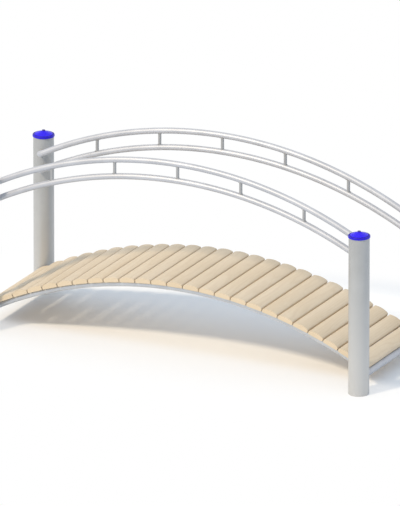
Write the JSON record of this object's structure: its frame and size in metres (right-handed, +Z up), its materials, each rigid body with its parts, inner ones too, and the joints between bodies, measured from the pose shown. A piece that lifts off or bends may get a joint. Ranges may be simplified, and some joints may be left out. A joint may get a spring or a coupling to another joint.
{
  "type": "moon bridge",
  "caption": "Arched footbridge: a crowned timber plank deck on bent steel tubes, double tube handrails each side, and four round posts with plastic caps.",
  "frame": {"origin": "on the ground, under the middle of the arch", "axes": "+X along the walkway, +Y across it towards the rear side, +Z up"},
  "size_m": [2.414, 0.876, 1.1198],
  "materials": {
    "steel": "satin",
    "timber": "matt",
    "cap_plastic": "gloss"
  },
  "bodies": {
    "root": {"post_front_left": "steel", "post_front_right": "steel", "post_rear_left": "steel", "post_rear_right": "steel", "caps": "cap_plastic", "upper_rail_front": "steel", "upper_rail_rear": "steel", "lower_rail_front": "steel", "lower_rail_rear": "steel", "balusters_front": "steel", "balusters_rear": "steel", "stringer_front": "steel", "stringer_rear": "steel", "cross_tube_left": "steel", "cross_tube_right": "steel", "plank_01": "timber", "plank_02": "timber", "plank_03": "timber", "plank_04": "timber", "plank_05": "timber", "plank_06": "timber", "plank_07": "timber", "plank_08": "timber", "plank_09": "timber", "plank_10": "timber", "plank_11": "timber", "plank_12": "timber", "plank_13": "timber", "plank_14": "timber", "plank_15": "timber", "plank_16": "timber", "plank_17": "timber", "plank_18": "timber", "plank_19": "timber", "plank_20": "timber", "plank_21": "timber", "plank_22": "timber", "plank_23": "timber", "plank_24": "timber", "plank_25": "timber"}
  },
  "joints": []
}
